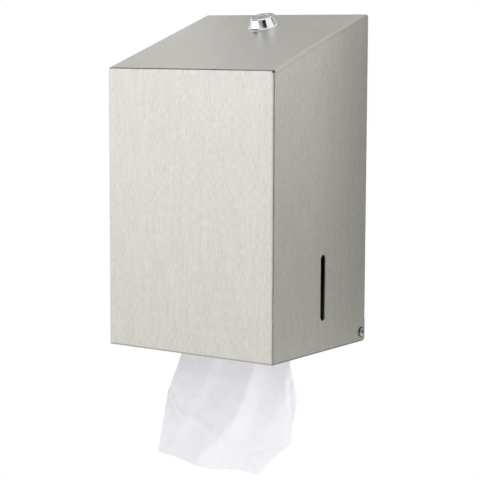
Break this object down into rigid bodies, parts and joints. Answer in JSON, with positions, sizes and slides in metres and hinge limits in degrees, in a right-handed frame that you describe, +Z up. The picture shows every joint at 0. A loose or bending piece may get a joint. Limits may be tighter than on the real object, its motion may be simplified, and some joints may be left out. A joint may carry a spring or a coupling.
{
  "type": "toilet roll dispenser",
  "caption": "Wall-mounted brushed stainless dispenser for stacked toilet rolls, with a locking cover that hinges at its foot, a sight slot, and tissue hanging from its open bottom.",
  "frame": {"origin": "centre of the four wall screw holes, on the wall's face", "axes": "+X to the viewer's right, +Y into the wall, +Z up"},
  "size_m": [0.153, 0.131, 0.3524],
  "materials": {
    "cover_steel": "fine vertical brushed grain",
    "plate_steel": "dull mill finish",
    "rivet_steel": "smooth satin",
    "fastener_steel": "zinc plated satin",
    "lock_chrome": "polished",
    "plug_steel": "satin nickel",
    "nylon": "natural nylon",
    "latch_plastic": "fine moulded texture",
    "spindle_plastic": "smooth moulded",
    "core_board": "grey-brown spiral-wound board",
    "tissue": "soft two-ply tissue"
  },
  "bodies": {
    "base": {"back_plate": "plate_steel", "hinge_rivet_left": "rivet_steel", "hinge_rivet_right": "rivet_steel", "hinge_washer_left": "nylon", "hinge_washer_right": "nylon", "lock_keeper": "plate_steel", "keeper_rivets": "rivet_steel", "guide_plate_left": "plate_steel", "guide_plate_right": "plate_steel", "guide_rivets": "rivet_steel", "latch_pivot_left": "rivet_steel", "latch_pivot_right": "rivet_steel", "spindle_lower": "spindle_plastic", "spindle_reserve": "spindle_plastic", "tissue_tail": "tissue"},
    "cover": {"cover": "cover_steel", "lock_body": "lock_chrome", "lock_nut": "fastener_steel", "lock_washer": "fastener_steel"},
    "lock": {"lock_plug": "plug_steel", "lock_cam": "fastener_steel", "cam_screw": "fastener_steel"},
    "latch_left": {"drop_latch_left": "latch_plastic"},
    "latch_right": {"drop_latch_right": "latch_plastic"},
    "roll_lower": {"core_lower": "core_board", "tissue_roll_lower": "tissue"},
    "roll_reserve": {"core_reserve": "core_board", "tissue_roll_reserve": "tissue"}
  },
  "joints": [
    {"name": "cover_hinge", "type": "hinge", "parent": "base", "child": "cover", "pos_m": [0, -0.0081, -0.1128], "axis": [1, 0, 0], "range_deg": [0, 42]},
    {"name": "lock_turn", "type": "hinge", "parent": "cover", "child": "lock", "pos_m": [0, -0.0336, 0.1217], "axis": [0, -0.3096, 0.9509], "range_deg": [-90, 0]},
    {"name": "latch_left_swing", "type": "hinge", "parent": "base", "child": "latch_left", "pos_m": [0, -0.054, 0.0117], "axis": [1, 0, 0], "range_deg": [-40, 0]},
    {"name": "latch_right_swing", "type": "hinge", "parent": "base", "child": "latch_right", "pos_m": [0, -0.054, 0.0117], "axis": [1, 0, 0], "range_deg": [-40, 0]},
    {"name": "roll_lower_spin", "type": "hinge", "parent": "base", "child": "roll_lower", "pos_m": [0, -0.066, -0.07], "axis": [1, 0, 0], "continuous": true},
    {"name": "roll_reserve_spin", "type": "hinge", "parent": "base", "child": "roll_reserve", "pos_m": [0, -0.066, 0.03], "axis": [1, 0, 0], "continuous": true}
  ]
}
